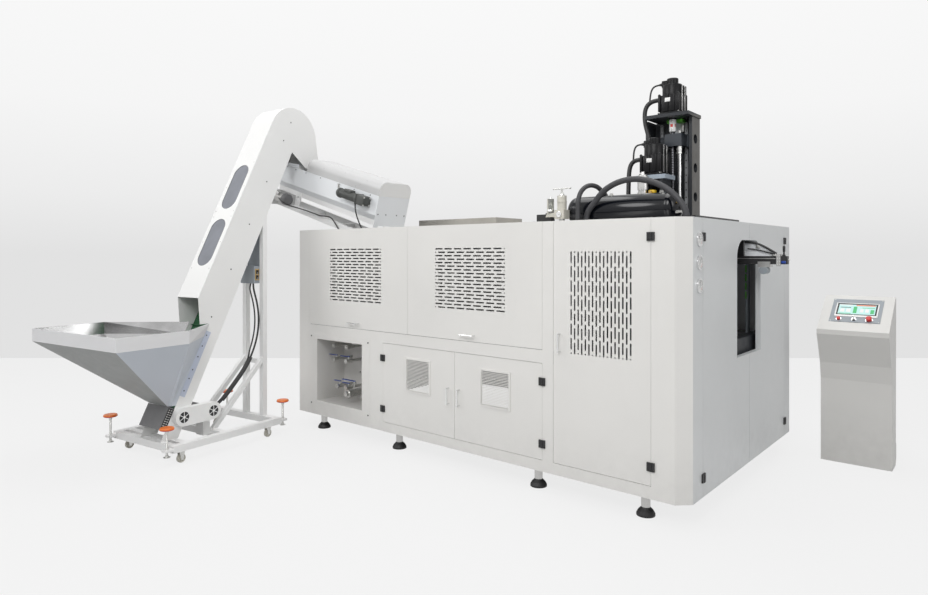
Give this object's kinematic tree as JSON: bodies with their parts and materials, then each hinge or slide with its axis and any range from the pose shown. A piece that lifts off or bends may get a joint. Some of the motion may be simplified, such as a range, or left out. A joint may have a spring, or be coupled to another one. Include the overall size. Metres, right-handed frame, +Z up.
{
  "type": "blow moulding machine",
  "caption": "Linear stretch blow moulding machine with vented cabinet, roof-mounted press tower, preform elevator with hopper and a separate operator console.",
  "frame": {"origin": "underside of the levelling foot nearest the outlet end and the front, on the floor", "axes": "+X runs along the machine to its outlet end, +Y from the front into its depth, +Z up"},
  "size_m": [5.6635, 4.6435, 3.262],
  "materials": {
    "frame_paint": "dark grey paint",
    "white_paint": "off-white powder coat",
    "grey_paint": "light grey powder coat",
    "black_paint": "satin black",
    "tower_paint": "charcoal paint",
    "steel": "satin steel",
    "chrome": "polished",
    "aluminium": "satin",
    "blue_lever": "vinyl-dipped blue",
    "rubber": "matt",
    "hose": "matt woven cover",
    "ivory_plastic": "satin",
    "orange_plastic": "orange hand wheels on steel screws",
    "green_belt": "matt",
    "smoked_window": "tinted acrylic",
    "red_plastic": "gloss",
    "black_plastic": "matt",
    "panel_grey": "grey membrane"
  },
  "bodies": {
    "machine": {"machine_frame": "frame_paint", "levelling_feet": "black_paint", "front_panel": "white_paint", "cover_panels": "grey_paint", "roof_cowl": "steel", "door_hinges": "black_paint", "service_valves": "steel", "pressure_gauges": "chrome", "oven_bank": "aluminium", "preform_chain": "steel", "clamp_frame": "tower_paint", "takeout_rail": "black_paint", "press_tower": "tower_paint", "guide_rails": "steel", "drive_motors": "black_paint", "air_tank": "black_paint", "air_regulator": "aluminium", "long_hose": "hose", "short_hose": "hose", "power_cables": "rubber", "elevator_base": "white_paint", "castor_forks": "steel", "conveyor_frame": "white_paint", "conveyor_belt": "green_belt", "casing_cover": "white_paint", "casing_windows": "smoked_window", "hopper": "white_paint", "electric_box": "frame_paint", "unscrambler_trough": "grey_paint", "console_body": "white_paint", "control_plate": "panel_grey"},
    "oven_door_left_body": {"oven_door_left": "white_paint"},
    "oven_door_right_body": {"oven_door_right": "white_paint"},
    "cabinet_door_left_body": {"cabinet_door_left": "white_paint"},
    "cabinet_door_right_body": {"cabinet_door_right": "white_paint"},
    "blow_door_body": {"blow_door": "white_paint"},
    "outlet_door_front_body": {"outlet_door_front": "white_paint"},
    "outlet_door_rear_body": {"outlet_door_rear": "white_paint"},
    "valve_lever_1_body": {"valve_lever_1": "blue_lever"},
    "valve_lever_2_body": {"valve_lever_2": "blue_lever"},
    "valve_lever_3_body": {"valve_lever_3": "blue_lever"},
    "valve_lever_4_body": {"valve_lever_4": "blue_lever"},
    "valve_lever_5_body": {"valve_lever_5": "blue_lever"},
    "regulator_handle_body": {"regulator_handle": "steel"},
    "mould_front_body": {"mould_front": "aluminium"},
    "mould_rear_body": {"mould_rear": "aluminium"},
    "takeout_gripper_body": {"takeout_gripper": "aluminium"},
    "stretch_carriage_body": {"stretch_carriage": "tower_paint"},
    "ball_screw_body": {"ball_screw": "steel"},
    "unscrambler_cover_body": {"unscrambler_cover": "white_paint"},
    "sorting_roller_front_body": {"sorting_roller_front": "steel"},
    "sorting_roller_rear_body": {"sorting_roller_rear": "steel"},
    "castor_wheel_1_body": {"castor_wheel_1": "ivory_plastic"},
    "castor_wheel_2_body": {"castor_wheel_2": "ivory_plastic"},
    "castor_wheel_3_body": {"castor_wheel_3": "ivory_plastic"},
    "castor_wheel_4_body": {"castor_wheel_4": "ivory_plastic"},
    "jack_screws_body": {"jack_screws": "orange_plastic"},
    "emergency_stop_body": {"emergency_stop": "red_plastic"},
    "start_button_body": {"start_button": "red_plastic"},
    "key_switch_body": {"key_switch": "black_plastic"}
  },
  "joints": [
    {"name": "oven_door_left_lift", "type": "hinge", "parent": "machine", "child": "oven_door_left_body", "pos_m": [-2.872, -0.064, 1.984], "axis": [-1, 0, 0], "range_deg": [0, 75]},
    {"name": "oven_door_right_lift", "type": "hinge", "parent": "machine", "child": "oven_door_right_body", "pos_m": [-1.468, -0.064, 1.984], "axis": [-1, 0, 0], "range_deg": [0, 75]},
    {"name": "cabinet_door_left_swing", "type": "hinge", "parent": "machine", "child": "cabinet_door_left_body", "pos_m": [-2.488, -0.108, 0.594], "axis": [0, 0, -1], "range_deg": [0, 110]},
    {"name": "cabinet_door_right_swing", "type": "hinge", "parent": "machine", "child": "cabinet_door_right_body", "pos_m": [-0.766, -0.108, 0.594], "axis": [0, 0, 1], "range_deg": [0, 110]},
    {"name": "blow_door_swing", "type": "hinge", "parent": "machine", "child": "blow_door_body", "pos_m": [0.082, -0.108, 1.1], "axis": [0, 0, 1], "range_deg": [0, 110]},
    {"name": "outlet_door_front_swing", "type": "hinge", "parent": "machine", "child": "outlet_door_front_body", "pos_m": [0.337, 0.157, 1.075], "axis": [0, 0, -1], "range_deg": [0, 110]},
    {"name": "outlet_door_rear_swing", "type": "hinge", "parent": "machine", "child": "outlet_door_rear_body", "pos_m": [0.337, 2.107, 1.075], "axis": [0, 0, 1], "range_deg": [0, 55]},
    {"name": "valve_1_turn", "type": "hinge", "parent": "machine", "child": "valve_lever_1_body", "pos_m": [-3.332, 0.05, 0.742], "axis": [0, 0, 1], "range_deg": [0, 90]},
    {"name": "valve_2_turn", "type": "hinge", "parent": "machine", "child": "valve_lever_2_body", "pos_m": [-3.145, 0.05, 0.742], "axis": [0, 0, 1], "range_deg": [0, 90]},
    {"name": "valve_3_turn", "type": "hinge", "parent": "machine", "child": "valve_lever_3_body", "pos_m": [-3.277, 0.05, 0.487], "axis": [0, 0, 1], "range_deg": [0, 90]},
    {"name": "valve_4_turn", "type": "hinge", "parent": "machine", "child": "valve_lever_4_body", "pos_m": [-3.149, 0.05, 0.48], "axis": [0, 0, 1], "range_deg": [0, 90]},
    {"name": "valve_5_turn", "type": "hinge", "parent": "machine", "child": "valve_lever_5_body", "pos_m": [-3.061, 0.05, 0.512], "axis": [0, 0, 1], "range_deg": [0, 90]},
    {"name": "regulator_turn", "type": "hinge", "parent": "machine", "child": "regulator_handle_body", "pos_m": [-0.783, 0.2, 2.23], "axis": [0, 0, 1], "range_deg": [0, 720]},
    {"name": "mould_front_close", "type": "slide", "parent": "machine", "child": "mould_front_body", "axis": [0, 1, 0], "range_m": [0, 0.098]},
    {"name": "mould_rear_close", "type": "slide", "parent": "machine", "child": "mould_rear_body", "axis": [0, -1, 0], "range_m": [0, 0.098]},
    {"name": "gripper_travel", "type": "slide", "parent": "machine", "child": "takeout_gripper_body", "axis": [-1, 0, 0], "range_m": [0, 0.6]},
    {"name": "stretch_stroke", "type": "slide", "parent": "machine", "child": "stretch_carriage_body", "axis": [0, 0, -1], "range_m": [0, 0.45]},
    {"name": "screw_turn", "type": "hinge", "parent": "machine", "child": "ball_screw_body", "pos_m": [-0.218, 0.97, 2.45], "axis": [0, 0, 1], "continuous": true},
    {"name": "cover_swing", "type": "hinge", "parent": "machine", "child": "unscrambler_cover_body", "pos_m": [-3.15353, 0.37, 2.45491], "axis": [-0.9608, 0, 0.2773], "range_deg": [0, 80]},
    {"name": "roller_front_spin", "type": "hinge", "parent": "machine", "child": "sorting_roller_front_body", "pos_m": [-3.46588, 0.109, 2.40768], "axis": [0.9608, 0, -0.2773], "continuous": true},
    {"name": "roller_rear_spin", "type": "hinge", "parent": "machine", "child": "sorting_roller_rear_body", "pos_m": [-3.46588, 0.211, 2.40768], "axis": [0.9608, 0, -0.2773], "continuous": true},
    {"name": "castor_1_roll", "type": "hinge", "parent": "machine", "child": "castor_wheel_1_body", "pos_m": [-3.4784, -1.48799, 0.0375], "axis": [0.991, 0.134, 0], "continuous": true},
    {"name": "castor_2_roll", "type": "hinge", "parent": "machine", "child": "castor_wheel_2_body", "pos_m": [-4.23452, -1.59022, 0.0375], "axis": [0.991, 0.134, 0], "continuous": true},
    {"name": "castor_3_roll", "type": "hinge", "parent": "machine", "child": "castor_wheel_3_body", "pos_m": [-3.60247, -0.57034, 0.0375], "axis": [0.991, 0.134, 0], "continuous": true},
    {"name": "castor_4_roll", "type": "hinge", "parent": "machine", "child": "castor_wheel_4_body", "pos_m": [-4.35859, -0.67257, 0.0375], "axis": [0.991, 0.134, 0], "continuous": true},
    {"name": "jacks_down", "type": "slide", "parent": "machine", "child": "jack_screws_body", "axis": [0, 0, -1], "range_m": [0, 0.085]},
    {"name": "stop_push", "type": "slide", "parent": "machine", "child": "emergency_stop_body", "axis": [0, 0.5976, -0.8018], "range_m": [0, 0.006]},
    {"name": "start_push", "type": "slide", "parent": "machine", "child": "start_button_body", "axis": [0, 0.5976, -0.8018], "range_m": [0, 0.004], "stiffness_N_per_m": 400, "springref_m": -0.002},
    {"name": "key_turn", "type": "hinge", "parent": "machine", "child": "key_switch_body", "pos_m": [0.873, 2.07065, 1.21247], "axis": [0, -0.5976, 0.8018], "range_deg": [0, 90]}
  ],
  "couplings": [
    {"joint": "mould_rear_close", "follows": "mould_front_close", "ratio": 1},
    {"joint": "screw_turn", "follows": "stretch_stroke", "rad_per_m": 314.16},
    {"joint": "roller_rear_spin", "follows": "roller_front_spin", "ratio": -1}
  ]
}
